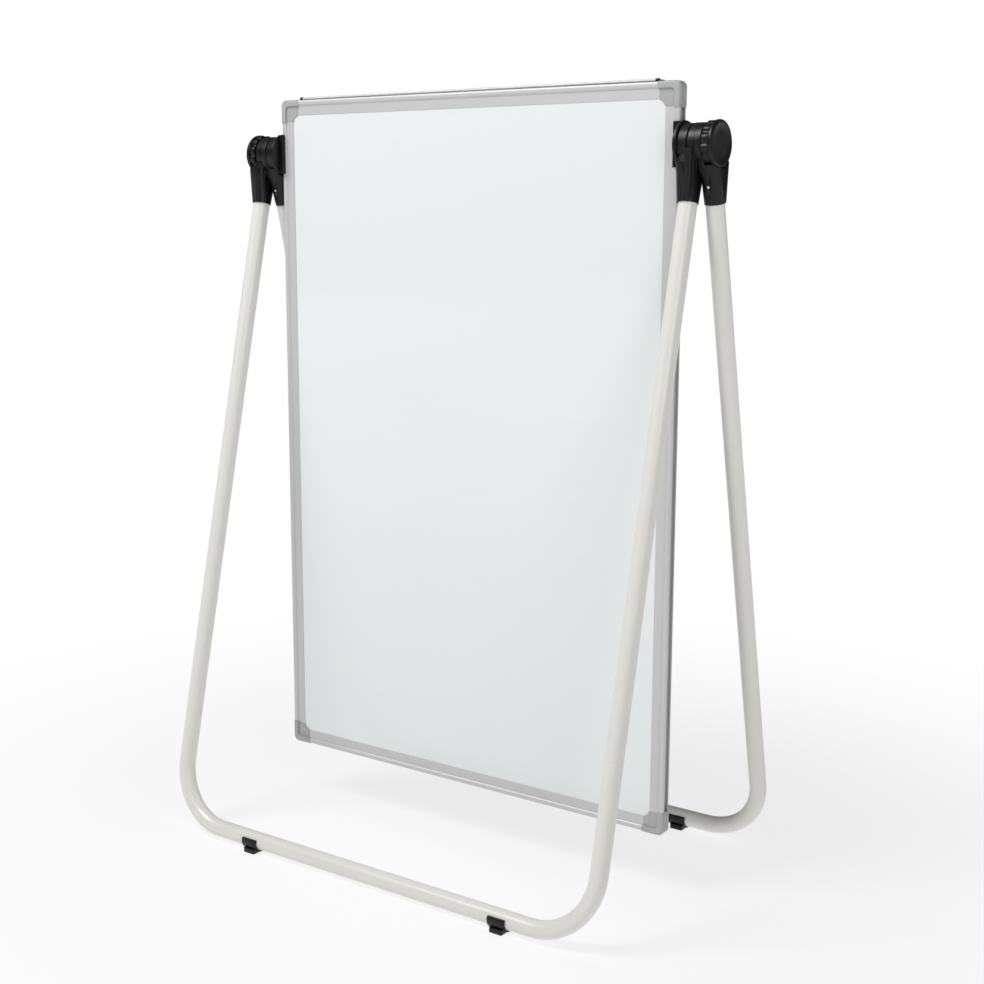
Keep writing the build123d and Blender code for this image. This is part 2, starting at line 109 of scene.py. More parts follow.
def colour(name, description, default):
    return FloatVectorProperty(name=name, description=description, default=default, min=0.0,
                               max=1.0, size=3, subtype="COLOR")


class EaselSizes(bpy.types.PropertyGroup):
    moulding_edge: length("Moulding edge", "Rounding of the edges of black mouldings", 0.0007)
    cap_edge: length("Cap edge", "Rounding of the edges of the corner caps", 0.0003)
    edge_segments: IntProperty(name="Edge segments", description="Facets across a rounded edge",
                               default=3, min=1)
    recess_reach: length("Recess reach", "Length of each arm of a screw's cross recess", 0.0016)
    recess_width: length("Recess width", "Width of an arm of the cross recess", 0.0008)
    recess_depth: length("Recess depth", "Depth of the cross recess", 0.0009)
    shank_radius: length("Shank radius", "Radius of the small screws' shanks", 0.0015)
    head_height: length("Head height", "Height of the small screws' heads", 0.0016)
    dish_inset: length("Dish inset", "Rim of a knob cover outside its dished face", 0.0042)
    dish_depth: length("Dish depth", "How far the face of a knob cover is dished", 0.0006)
    edge_round: length("Edge round", "Rounding of the jaws, flange and drum", 0.001)
    rim_round: length("Rim round", "Rounding of the outer rim of a knob cover", 0.0022)
    powder_grain: length("Powder grain", "Width of the ripples in the powder coat", 0.0016)
    moulded_grain: length("Moulded grain", "Width of the grain of the plastic", 0.0005)
    drawn_grain: length("Drawn grain", "Width of the fine lines along the rails", 0.0004)


class EaselHubs(bpy.types.PropertyGroup):
    clearance: length("Clearance", "Room round what turns or slides", 0.0003)
    leg_lean: angle("Leg lean", "Lean of each leg from upright", 12.85)
    jaw_height: length("Jaw height", "Height of the jaws on a side rail", 0.051)
    jaw_reach: length("Jaw reach", "How far a jaw laps over the face of a rail", 0.006)
    jaw_thickness: length("Jaw thickness", "Thickness of a jaw", 0.0046)
    web_thickness: length("Web thickness", "Wall between a rail and its drum", 0.003)
    flange_radius: length("Flange radius", "Round flange beside the jaws", 0.0268)
    flange_depth: length("Flange depth", "How far the flange stands out of the wall", 0.0016)
    drum_radius: length("Drum radius", "Drum that the sockets lie against", 0.0236)
    spigot_radius: length("Spigot radius", "Spigot that the sockets turn on", 0.008)
    bolt_radius: length("Bolt radius", "Hole for the bolt through a hub", 0.00306)
    eye_thickness: length("Eye thickness", "Flat eye of a socket", 0.0083)
    eye_gap: length("Eye gap", "Half the gap between the sockets of a hub", 0.0002)
    saddle_top: length("Saddle top", "Pivot to the top of a saddle, along its leg", 0.004)
    saddle_bend: length("Saddle bend", "Pivot to where a saddle starts to narrow", 0.024)
    saddle_end: length("Saddle end", "Pivot to where a saddle meets its collar", 0.0655)
    saddle_width: length("Saddle width", "Width of a saddle, front to back", 0.036)
    saddle_round: length("Saddle round", "Upright corners of a saddle", 0.008)
    collar_width: length("Collar width", "Width of the collar round a tube", 0.025)
    collar_round: length("Collar round", "Upright corners of the collar", 0.012)
    skin: length("Skin", "How far a saddle lies over its collar", 0.00005)
    tube_place: length("Tube place", "Tube axis inside the pivot axis", 0.005)
    tube_side: length("Tube side", "Tube axis to the hub's middle plane", 0.0122)
    tube_radius: length("Tube radius", "Bore for a tube", 0.01105)
    tube_top: length("Tube top", "Pivot to the end of a tube, along its leg", 0.036)
    seat_radius: length("Seat radius", "Seat of the screw into a tube", 0.0031)
    seat_place: length("Seat place", "Seat of that screw inside the pivot axis", 0.017)
    seat_drop: length("Seat drop", "Pivot to that screw, along the leg", 0.045)
    leaf_top: length("Leaf top", "Pivot to the top of the leaf-shaped front face", 0.0105)
    leaf_start: length("Leaf start", "Wide end of the leaf to the hub's middle plane", 0.0112)
    leaf_end: length("Leaf end", "Pivot to the tip of the leaf", 0.0635)
    leaf_stand: length("Leaf stand", "How far the leaf stands in front of the drum", 0.0024)
    leaf_round: length("Leaf round", "Rounding of the wide end of the leaf", 0.0034)
    leaf_tip: length("Leaf tip", "Width of the leaf at its tip", 0.0024)
    leaf_tip_place: length("Leaf tip place", "Tip to the hub's middle plane", 0.006)
    grip_radius: length("Grip radius", "Fluted part of a knob", 0.0262)
    flute_depth: length("Flute depth", "Depth of a knob's flutes", 0.0019)
    flutes: IntProperty(name="Flutes", description="Number of flutes round a knob", default=12,
                        min=3)
    insert_radius: length("Insert radius", "Brass insert in a knob", 0.0065)
    insert_depth: length("Insert depth", "Depth of the brass insert", 0.007)


class EaselRails(bpy.types.PropertyGroup):
    bead_width: length("Bead width", "Raised bead along the outer edge of a rail", 0.0075)
    flat_depth: length("Flat depth", "From the bead down to the flat face", 0.002)
    cap_stand: length("Cap stand", "How far a corner cap stands out of a rail", 0.0005)
    cap_inner_round: length("Cap inner round", "Inner corner of a cap's bead", 0.005)
    slot_width: length("Slot width", "Opening of the channel in a rail's edge", 0.0085)
    slot_depth: length("Slot depth", "Depth of the cut that opens the channel", 0.003)
    cut_margin: length("Cut margin", "How far a cut runs past what it cuts", 0.003)


class EaselColours(bpy.types.PropertyGroup):
    powder: colour("Powder coat", "Off-white coat of the tubes", (0.755, 0.745, 0.705))
    enamel: colour("Enamel", "White face of the board", (0.80, 0.83, 0.83))
    anodised: colour("Anodised aluminium", "Rails and strip", (0.62, 0.625, 0.62))
    grey_plastic: colour("Grey plastic", "Corner caps", (0.40, 0.405, 0.405))
    black_plastic: colour("Black plastic", "Hubs, knobs and feet", (0.004, 0.004, 0.0043))
    zinc: colour("Zinc plate", "Screws, bolts and washers", (0.60, 0.60, 0.58))
    brass: colour("Brass", "Knob inserts", (0.70, 0.52, 0.24))
    card: colour("Card", "Core of the board", (0.45, 0.34, 0.22))
    floor: colour("Floor", "Pale floor", (0.90, 0.90, 0.90))


class EaselStudio(bpy.types.PropertyGroup):
    camera_place: FloatVectorProperty(name="Camera place", description="Where the camera stands",
                                      default=(1.14497, -1.57417, 0.82805), subtype="XYZ",
                                      unit="LENGTH")
    azimuth: angle("Azimuth", "Camera direction round the easel", 35.059)
    elevation: angle("Elevation", "Camera direction above level", 10.347)
    roll: angle("Roll", "Turn of the camera about its own view", 0.183)
    lens: FloatProperty(name="Lens", description="Focal length in millimetres", default=55.85,
                        min=1.0, subtype="DISTANCE_CAMERA")
    key_power: power("Key power", "Main soft light", 92.0)
    fill_power: power("Fill power", "Soft light from the right", 24.0)
    room_light: FloatProperty(name="Room light", description="Strength of the pale room",
                              default=0.13, min=0.0)


GROUPS = {"easel_sizes": EaselSizes, "easel_hubs": EaselHubs, "easel_rails": EaselRails,
          "easel_colours": EaselColours, "easel_studio": EaselStudio}


def sizes():
    return bpy.context.scene.easel_sizes


def hubs():
    return bpy.context.scene.easel_hubs


def rails():
    return bpy.context.scene.easel_rails


def colours():
    return bpy.context.scene.easel_colours


def studio():
    return bpy.context.scene.easel_studio


# ---- Shader node helpers ----

def add(tree, kind, inputs=None, **settings):
    """A node whose inputs are values or the output sockets of other nodes."""
    node = tree.nodes.new(kind)
    for name, value in settings.items():
        setattr(node, name, value)
    for socket, value in (inputs or {}).items():
        if isinstance(value, bpy.types.NodeSocket):
            tree.links.new(value, node.inputs[socket])
        else:
            node.inputs[socket].default_value = value
    return node


def maths(tree, operation, first, second=0.0):
    return add(tree, "ShaderNodeMath", {0: first, 1: second}, operation=operation).outputs[0]


def blend_colours(tree, factor, first, second):
    node = add(tree, "ShaderNodeMix", {"Factor": factor}, data_type="RGBA")
    for index, value in ((6, first), (7, second)):
        if isinstance(value, bpy.types.NodeSocket):
            tree.links.new(value, node.inputs[index])
        else:
            node.inputs[index].default_value = (*value[:3], 1.0)
    return node.outputs[2]


def tinted(tree, mask, amount, base, tint):
    """A colour that goes part of the way to another where a mask is high."""
    return blend_colours(tree, maths(tree, "MULTIPLY", mask, amount), base, tint)


def ramp(tree, value, low, high, to_low=0.0, to_high=1.0):
    node = add(tree, "ShaderNodeMapRange", {"Value": value, "From Min": low, "From Max": high,
                                            "To Min": to_low, "To Max": to_high},
               interpolation_type="SMOOTHSTEP")
    return node.outputs["Result"]


def stretched_place(tree, stretch):
    """Object coordinates, stretched along one direction."""
    place = add(tree, "ShaderNodeTexCoord").outputs["Object"]
    return add(tree, "ShaderNodeVectorMath", {0: place, 1: stretch},
               operation="MULTIPLY").outputs[0]


def noise(tree, place, scale, detail=3.0, roughness=0.5):
    node = add(tree, "ShaderNodeTexNoise", {"Vector": place, "Scale": scale, "Detail": detail,
                                            "Roughness": roughness})
    return node.outputs["Fac"]


def new_group(name, inputs, outputs):
    """A shader node group with float inputs by name and default, and float outputs."""
    tree = bpy.data.node_groups.new(name, "ShaderNodeTree")
    for label, default in inputs:
        kind = "NodeSocketVector" if isinstance(default, tuple) else "NodeSocketFloat"
        tree.interface.new_socket(label, in_out="INPUT", socket_type=kind).default_value = default
    for label in outputs:
        tree.interface.new_socket(label, in_out="OUTPUT", socket_type="NodeSocketFloat")
    entry = tree.nodes.new("NodeGroupInput")
    end = tree.nodes.new("NodeGroupOutput")
    return tree, entry.outputs, end.inputs


def placed_group(tree, build, **values):
    """Places a shared group in a material, building it the first time."""
    group = bpy.data.node_groups.get(build.__name__) or build()
    node = add(tree, "ShaderNodeGroup", node_tree=group)
    for label, value in values.items():
        node.inputs[label.replace("_", " ").capitalize()].default_value = value
    return node.outputs


def surface_grain():
    """Two sizes of fine ripple, which may be stretched along one direction."""
    tree, given, result = new_group(
        "surface_grain", [("Grain", 0.001), ("Stretch", (1.0, 1.0, 1.0))], ["Height", "Broad"])
    place = stretched_place(tree, given["Stretch"])
    scale = maths(tree, "DIVIDE", 1.0, given["Grain"])
    fine = noise(tree, place, scale, detail=2.0)
    broad = noise(tree, place, maths(tree, "MULTIPLY", scale, 0.18), detail=3.0)
    tree.links.new(maths(tree, "ADD", maths(tree, "MULTIPLY", fine, 0.7),
                         maths(tree, "MULTIPLY", broad, 0.3)), result["Height"])
    tree.links.new(broad, result["Broad"])
    return tree


def handling_marks():
    """Soft patches left by hands and cloths, with a few finer rubs inside them."""
    tree, given, result = new_group(
        "handling_marks", [("Patch", 0.12), ("Stretch", (1.0, 1.0, 1.0))], ["Mask", "Rubs"])
    place = stretched_place(tree, given["Stretch"])
    scale = maths(tree, "DIVIDE", 1.0, given["Patch"])
    patches = ramp(tree, noise(tree, place, scale, detail=4.0, roughness=0.6), 0.42, 0.68)
    rubs = ramp(tree, noise(tree, place, maths(tree, "MULTIPLY", scale, 9.0), detail=5.0,
                            roughness=0.7), 0.55, 0.72)
    tree.links.new(patches, result["Mask"])
    tree.links.new(maths(tree, "MULTIPLY", patches, rubs), result["Rubs"])
    return tree


def settled_dust():
    """Thin dust on the faces that look up."""
    tree, given, result = new_group("settled_dust", [("Amount", 0.3), ("Speck", 0.002)], ["Mask"])
    geometry = add(tree, "ShaderNodeNewGeometry")
    upward = add(tree, "ShaderNodeSeparateXYZ", {0: geometry.outputs["Normal"]}).outputs["Z"]
    place = add(tree, "ShaderNodeTexCoord").outputs["Object"]
    specks = noise(tree, place, maths(tree, "DIVIDE", 1.0, given["Speck"]), detail=4.0,
                   roughness=0.7)
    cover = maths(tree, "MULTIPLY", ramp(tree, upward, 0.1, 0.95), ramp(tree, specks, 0.3, 0.75))
    tree.links.new(maths(tree, "MULTIPLY", cover, given["Amount"]), result["Mask"])
    return tree


def new_material(name, metallic=0.0, **constants):
    """A material with a Principled shader whose plain values are set on its own sockets."""
    material = bpy.data.materials.new(name)
    material.use_nodes = True
    tree = material.node_tree
    shader = tree.nodes["Principled BSDF"]
    shader.inputs["Metallic"].default_value = metallic
    for label, value in constants.items():
        shader.inputs[label.replace("_", " ")].default_value = value
    return material, tree, shader


def finish_with(tree, shader, base, roughness, height, depth, strength=1.0):
    """Links a colour, a roughness and a bump of a given depth in metres."""
    tree.links.new(base, shader.inputs["Base Color"])
    tree.links.new(roughness, shader.inputs["Roughness"])
    bump = add(tree, "ShaderNodeBump", {"Strength": strength, "Distance": depth,
                                        "Height": height})
    tree.links.new(bump.outputs["Normal"], shader.inputs["Normal"])


# ---- Finishes ----

DUST = (0.42, 0.41, 0.38)
RUBBED_GLEAM = Vector((0.10, 0.10, 0.10))    # added to a plastic's colour at its edges
CORE_CELLS = 90.0                            # cells of the core in a metre

# The depth of each finish's bump, the width of its handling marks, both in metres, and its
# roughness from clean to marked.
BUMP = {"powder": 0.00004, "enamel": 0.00003, "rail": 0.00002, "plastic": 0.00005,
        "metal": 0.00001, "card": 0.0002}
PATCH = {"powder": 0.06, "enamel": 0.16, "rail": 0.05, "plastic": 0.03, "metal": 0.004}
ROUGH = {"powder": (0.32, 0.42), "enamel": (0.16, 0.26), "rail": (0.50, 0.62),
         "card": (0.8, 0.9)}


def powder_coat():
    """Off-white powder coat with a fine orange-peel ripple and faint scuffs."""
    material, tree, shader = new_material("powder_coat", Coat_Weight=0.15, Coat_Roughness=0.18)
    grain = placed_group(tree, surface_grain, grain=sizes().powder_grain)
    marks = placed_group(tree, handling_marks, patch=PATCH["powder"])
    base = Vector(colours().powder)
    scuffed = tinted(tree, marks["Rubs"], 0.35, base, base * 0.78)
    toned = tinted(tree, grain["Broad"], 0.10, scuffed, base * 0.93)
    roughness = ramp(tree, marks["Mask"], 0.0, 1.0, *ROUGH["powder"])
    finish_with(tree, shader, toned, roughness, grain["Height"], BUMP["powder"])
    return material


def board_enamel():
    """Gloss white enamel with the faint haze and streaks of wiped writing."""
    material, tree, shader = new_material("board_enamel", Coat_Weight=0.35, Coat_Roughness=0.06)
    ripple = placed_group(tree, surface_grain, grain=0.05)
    wiped = placed_group(tree, handling_marks, patch=PATCH["enamel"], stretch=(0.35, 1.0, 1.0))
    base = Vector(colours().enamel)
    hazed = tinted(tree, wiped["Mask"], 0.25, base, base * 0.965)
    streaked = tinted(tree, wiped["Rubs"], 0.20, hazed, base * 0.90)
    roughness = ramp(tree, wiped["Mask"], 0.0, 1.0, *ROUGH["enamel"])
    finish_with(tree, shader, streaked, roughness, ripple["Height"], BUMP["enamel"])
    return material


def anodised_rail(name, stretch):
    """Satin aluminium with fine lines drawn along the rail."""
    material, tree, shader = new_material(name, metallic=0.4)
    grain = placed_group(tree, surface_grain, grain=sizes().drawn_grain, stretch=stretch)
    marks = placed_group(tree, handling_marks, patch=PATCH["rail"])
    base = Vector(colours().anodised)
    lined = tinted(tree, grain["Height"], 0.30, base, base * 0.80)
    worn = tinted(tree, marks["Rubs"], 0.30, lined, base * 0.85)
    roughness = ramp(tree, grain["Height"], 0.2, 0.8, *ROUGH["rail"])
    finish_with(tree, shader, worn, roughness, grain["Height"], BUMP["rail"])
    return material


def moulded_plastic(name, base, rough, dust_amount):
    """Plastic with a fine spark-eroded grain, rubbed edges and a little dust."""
    material, tree, shader = new_material(name, Specular_IOR_Level=0.3)
    grain = placed_group(tree, surface_grain, grain=sizes().moulded_grain)
    marks = placed_group(tree, handling_marks, patch=PATCH["plastic"])
    dust = placed_group(tree, settled_dust, amount=dust_amount)
    base = Vector(base)
    lighter = base * 0.5 + RUBBED_GLEAM
    edge = add(tree, "ShaderNodeAttribute", attribute_name="rub").outputs["Fac"]
    rubbed = maths(tree, "MULTIPLY", edge, ramp(tree, marks["Mask"], 0.0, 1.0, 0.08, 0.35))
    worn = blend_colours(tree, rubbed, base, lighter)
    dusted = blend_colours(tree, dust["Mask"], worn, DUST)
    roughness = maths(tree, "ADD", ramp(tree, marks["Mask"], 0.0, 1.0, rough, rough + 0.10),
                      maths(tree, "MULTIPLY", dust["Mask"], 0.3))
    finish_with(tree, shader, dusted, roughness, grain["Height"], BUMP["plastic"])
    return material


def plated_metal(name, base, rough):
    """Plated or turned metal with fine scratches and dull spots."""
    material, tree, shader = new_material(name, metallic=1.0)
    grain = placed_group(tree, surface_grain, grain=0.0003)
    marks = placed_group(tree, handling_marks, patch=PATCH["metal"])
    base = Vector(base)
    dulled = tinted(tree, marks["Mask"], 0.4, base, base * 0.7)
    roughness = ramp(tree, marks["Mask"], 0.0, 1.0, rough, rough + 0.15)
    finish_with(tree, shader, dulled, roughness, grain["Height"], BUMP["metal"])
    return material


def core_card():
    """Paper core with the faint print of its cells."""
    material, tree, shader = new_material("core_card")
    cells = add(tree, "ShaderNodeTexVoronoi", {
        "Vector": add(tree, "ShaderNodeTexCoord").outputs["Object"], "Scale": CORE_CELLS},
        feature="DISTANCE_TO_EDGE").outputs["Distance"]
    base = Vector(colours().card)
    walls = ramp(tree, cells, 0.0, 0.08)
    finish_with(tree, shader, blend_colours(tree, walls, base * 0.8, base),
                ramp(tree, walls, 0.0, 1.0, *ROUGH["card"]), walls, BUMP["card"])
    return material


FINISHES = {
    "powder": powder_coat,
    "enamel": board_enamel,
    "level_rail": lambda: anodised_rail("level_rail", (0.004, 1.0, 1.0)),
    "upright_rail": lambda: anodised_rail("upright_rail", (1.0, 1.0, 0.004)),
    "grey_plastic": lambda: moulded_plastic("grey_plastic", colours().grey_plastic, 0.42, 0.05),
    "black_plastic": lambda: moulded_plastic("black_plastic", colours().black_plastic, 0.36, 0.02),
    "zinc": lambda: plated_metal("zinc", colours().zinc, 0.28),
    "brass": lambda: plated_metal("brass", colours().brass, 0.3),
    "card": core_card,
}
made = {}


def finish_named(name):
    """A finish by name, made once."""
    if name not in made:
        made[name] = FINISHES[name]()
    return made[name]


def paint(names, finish):
    """Gives CAD nodes a finish."""
    for name in names:
        for slot in nodes[name].material_slots:
            slot.material = finish_named(finish)


# ---- Mesh helpers ----

MERGE_DISTANCE = 1e-6
FLAT_ANGLE = radians(0.4)
SHARP_ANGLE = radians(28.0)


def make_whole(mesh):
    """Merges doubled vertices and makes each flat face one face."""
    bmesh.ops.remove_doubles(mesh, verts=mesh.verts, dist=MERGE_DISTANCE)
    bmesh.ops.dissolve_limit(mesh, angle_limit=FLAT_ANGLE, verts=mesh.verts, edges=mesh.edges)


def merged_copy(name):
    """A bmesh of a CAD node with its loose triangles joined."""
    mesh = bmesh.new()
    mesh.from_mesh(nodes[name].data)
    make_whole(mesh)
    return mesh


def rounded(mesh, geom, width, segments, affect="EDGES", clamp=False):
    """Rounds edges or corners and returns the new faces."""
    return bmesh.ops.bevel(mesh, geom=geom, offset=width, offset_type="OFFSET",
                           segments=segments, profile=0.5, affect=affect,
                           clamp_overlap=clamp, material=-1)["faces"]


def sharper_than(mesh, angle):
    return [edge for edge in mesh.edges if edge.is_manifold and edge.calc_face_angle() > angle]


def level_rim(mesh, height):
    """The edges that lie at one height."""
    return [edge for edge in mesh.edges
            if all(abs(vert.co.z - height) < MERGE_DISTANCE for vert in edge.verts)]


def round_edges(mesh, width, hollows=True):
    """Rounds the sharp edges and marks the new faces, where the finish rubs first."""
    sharp = [edge for edge in sharper_than(mesh, SHARP_ANGLE)
             if hollows or edge.calc_face_angle_signed() > 0]
    rub = mesh.loops.layers.float.new("rub")
    for face in rounded(mesh, sharp, width, sizes().edge_segments, clamp=True):
        for loop in face.loops:
            loop[rub] = 1.0


def new_object(name, data):
    """An object in the scene for a mesh, a light or a camera."""
    item = bpy.data.objects.new(name, data)
    bpy.context.scene.collection.objects.link(item)
    return item


def new_mesh(name, mesh):
    """Turns a bmesh, which is used up, into mesh data."""
    data = bpy.data.meshes.new(name)
    mesh.to_mesh(data)
    mesh.free()
    return data


def stand_in(mesh, name, node_names, finish):
    """Makes a bmesh a finished piece in the place of CAD nodes of one body."""
    data = new_mesh(name, mesh)
    data.polygons.foreach_set("use_smooth", [True] * len(data.polygons))
    data.set_sharp_from_angle(angle=SHARP_ANGLE)
    data.materials.append(finish_named(finish))
    piece = new_object(name, data)
    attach(piece, nodes[node_names[0]]["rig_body"])
    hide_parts(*node_names)
    return piece


def black_piece(mesh, name, node):
    return stand_in(mesh, name, [node], "black_plastic")


def soften(names, width):
    """Stands softened black mouldings in for CAD nodes."""
    for name in names:
        mesh = merged_copy(name)
        round_edges(mesh, width)
        black_piece(mesh, f"{name}_moulding", name)


def island_boxes(name, direction):
    """For each solid in a CAD node: middle of its axis, low and high end, and its radius."""
    mesh = merged_copy(name)
    left, found = set(mesh.verts), []
    while left:
        island, edge_of_search = set(), [left.pop()]
        while edge_of_search:
            vert = edge_of_search.pop()
            island.add(vert)
            for edge in vert.link_edges:
                other = edge.other_vert(vert)
                if other in left:
                    left.discard(other)
                    edge_of_search.append(other)
        places = [vert.co.copy() for vert in island]
        middle = sum(places, Vector()) / len(places)
        axis = direction(middle)
        along = [place.dot(axis) for place in places]
        across = [place - axis * place.dot(axis) for place in places]
        centre = sum(across, Vector()) / len(across)
        radius = max((place - centre).length for place in across)
        found.append((centre, axis, min(along), max(along), radius))
    mesh.free()
    return found


# ---- Solids ----

ROUND_SEGMENTS = 96    # facets round a drum, a spigot or a knob cover
RIM_SEGMENTS = 6       # facets across a rounded rim or corner
UPRIGHT_TO_X = Matrix.Rotation(radians(90), 4, "Y")


def rod(radius, start, end, edge=0.0):
    """A cylinder along X between two places, with rounded rims where edge is given."""
    mesh = bmesh.new()
    bmesh.ops.create_cone(mesh, cap_ends=True, segments=ROUND_SEGMENTS, radius1=radius,
                          radius2=radius, depth=abs(end - start))
    if edge:
        rounded(mesh, sharper_than(mesh, SHARP_ANGLE), edge, RIM_SEGMENTS)
    mesh.transform(Matrix.Translation(((start + end) / 2, 0, 0)) @ UPRIGHT_TO_X)
    return mesh


def loft(levels):
    """A solid through rounded rectangles, each an X range, a Y range, a height and a round."""
    mesh = bmesh.new()
    for x_range, y_range, height, corner in levels:
        verts = bmesh.ops.create_grid(mesh, x_segments=1, y_segments=1, size=0.5)["verts"]
        size = Vector((x_range[1] - x_range[0], y_range[1] - y_range[0], 1.0))
        middle = Vector((sum(x_range) / 2, sum(y_range) / 2, height))
        bmesh.ops.scale(mesh, vec=size, verts=verts)
        bmesh.ops.translate(mesh, vec=middle, verts=verts)
        if corner:
            rounded(mesh, verts, corner, RIM_SEGMENTS, affect="VERTICES")
    heights = [level[2] for level in levels]
    bmesh.ops.delete(mesh, context="FACES_ONLY", geom=[
        face for face in mesh.faces
        if min(abs(face.calc_center_median().z - end)
               for end in (heights[0], heights[-1])) > MERGE_DISTANCE])
    for lower, upper in zip(heights, heights[1:]):
        bmesh.ops.bridge_loops(mesh, edges=level_rim(mesh, lower) + level_rim(mesh, upper))
    bmesh.ops.recalc_face_normals(mesh, faces=mesh.faces)
    return mesh


def block(x_range, y_range, z_range):
    """A square block, for cuts."""
    return loft([(x_range, y_range, height, 0.0) for height in z_range])


def combined(first, second, operation):
    """Joins a second solid to a first, or cuts it away. Both are used up.

    Where faces of the two lie on one plane, slivers are left, which are taken out.
    """
    pair = [new_object("solid", new_mesh("solid", mesh)) for mesh in (first, second)]
    step = pair[0].modifiers.new("solid", "BOOLEAN")
    step.operation, step.solver, step.object = operation, "EXACT", pair[1]
    result = bmesh.new()
    result.from_object(pair[0], bpy.context.evaluated_depsgraph_get())
    for data in [item.data for item in pair]:
        bpy.data.meshes.remove(data)
    make_whole(result)
    bmesh.ops.dissolve_degenerate(result, dist=MERGE_DISTANCE, edges=result.edges)
    bmesh.ops.delete(result, geom=[edge for edge in result.edges if edge.is_wire],
                     context="EDGES")
    bmesh.ops.holes_fill(result, edges=[edge for edge in result.edges if edge.is_boundary],
                         sides=0)
    return result


def joined(first, *others):
    """A solid with others added to it."""
    for other in others:
        first = combined(first, other, "UNION")
    return first


def without(first, *others):
    """A solid with others cut out of it."""
    for other in others:
        first = combined(first, other, "DIFFERENCE")
    return first


def placed(mesh, matrix):
    """Moves a solid; a mirror image keeps its faces outward."""
    mesh.transform(matrix)
    if matrix.determinant() < 0:
        bmesh.ops.reverse_faces(mesh, faces=mesh.faces)
    return mesh


# ---- Hubs ----

MIRROR_X = Matrix.Diagonal((-1, 1, 1, 1))


def pivot_place():
    """From the origin to the pivot axis."""
    low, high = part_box("right_knob_cover")
    return Matrix.Translation((0, 0, (low.z + high.z) / 2))


def hub_turn(side):
    """From a right hub's own place on the X axis to the hub on either side."""
    return pivot_place() if side == "right" else pivot_place() @ MIRROR_X


def hub_plane():
    """The middle plane of the right hub, from the middle of the stand."""
    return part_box("rear_right_leg_socket")[0].x - hubs().eye_gap


def rail_corner():
    """The outer edge and the front face of the side rails, from the middle of the board."""
    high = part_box("right_rail")[1]
    return high.x, high.y


def flange_face():
    """The outer face of the flange, from the middle of the stand."""
    hub = hubs()
    return rail_corner()[0] + hub.clearance + hub.web_thickness + hub.flange_depth


def leaf():
    """The tapering front face of a socket, wide under the eye and narrow at the collar."""
    hub = hubs()
    front = hub.drum_radius + hub.clearance + hub.leaf_stand
    collar_front = hub.collar_width / 2 - hub.tube_place
    tip = (-hub.leaf_tip_place - hub.leaf_tip / 2, -hub.leaf_tip_place + hub.leaf_tip / 2)
    wide = (-hub.leaf_start, -hub.eye_gap - hub.skin)
    return loft([(wide, (-front, -hub.tube_place), -hub.leaf_top, hub.leaf_round),
                 (tip, (-collar_front - hub.clearance, -hub.tube_place), -hub.leaf_end,
                  hub.leaf_tip / 3)])


def saddle(beside_clamp):
    """The wide top of a socket on an upright leg, with the pivot at the origin."""
    hub = hubs()
    low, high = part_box("rear_right_leg_socket")
    across = (hub_plane() - high.x - hub.skin, hub_plane() - low.x - hub.skin)
    half, half_collar = hub.saddle_width / 2, hub.collar_width / 2 + hub.skin
    collar = (hub.tube_place - half_collar, hub.tube_place + half_collar)
    body = loft([(across, (-half, half), -hub.saddle_top, hub.saddle_round),
                 (across, (-half, half), -hub.saddle_bend, hub.saddle_round),
                 (across, collar, -hub.saddle_end, hub.collar_round)])
    eye_face = -hub.eye_gap - hub.eye_thickness
    end = across[0] - hub.clearance
    if beside_clamp:
        start = flange_face() + hub.clearance - hub_plane()
        reach = hypot(hub.jaw_height / 2, rail_corner()[1] + hub.clearance + hub.jaw_thickness)
        body = joined(body, leaf())
        body = without(body, rod(reach + hub.clearance, end, start),
                       rod(hub.drum_radius + hub.clearance, end - hub.clearance, eye_face))
    else:
        low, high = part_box("right_knob_cover")
        body = without(body, rod((high.z - low.z) / 2 + hub.clearance, end, eye_face))
    bore = placed(rod(hub.tube_radius, hub.tube_top, hub.saddle_end + hub.seat_radius),
                  Matrix.Translation((-hub.tube_side, hub.tube_place, 0)) @ UPRIGHT_TO_X)
    seat = placed(rod(hub.seat_radius, hub.seat_place, half + hub.seat_radius),
                  Matrix.Translation((-hub.tube_side, 0, -hub.seat_drop))
                  @ Matrix.Rotation(pi / 2, 4, "Z"))
    return without(body, bore, seat, rod(hub.spigot_radius + hub.eye_gap, end, hub.eye_gap))


def leg_place(end, side):
    """From an upright socket with its pivot at the origin to its place in the stand."""
    across = hub_plane() * (1 if side == "right" else -1)
    lean = pivot_place() @ Matrix.Rotation(-hubs().leg_lean, 4, "X")
    if end == "front":
        return lean @ Matrix.Translation((across, 0, 0))
    return Matrix.Rotation(pi, 4, "Z") @ lean @ Matrix.Translation((-across, 0, 0))


def leg_socket(end, side):
    """A CAD socket with a wide saddle in the place of its narrow neck."""
    hub = hubs()
    name = f"{end}_{side}_leg_socket"
    place = leg_place(end, side)
    mesh = merged_copy(name)
    mesh.transform(place.inverted())
    reach = hub.saddle_width
    front = hub.tube_place - hub.collar_width / 2 + hub.skin
    mesh = without(mesh, block((-reach, reach), (-reach, front),
                               (-2 * reach, -hub.saddle_width / 2)))
    mesh = joined(mesh, saddle((end == "front") == (side == "right")))
    return black_piece(placed(mesh, place), f"{name}_moulding", name)


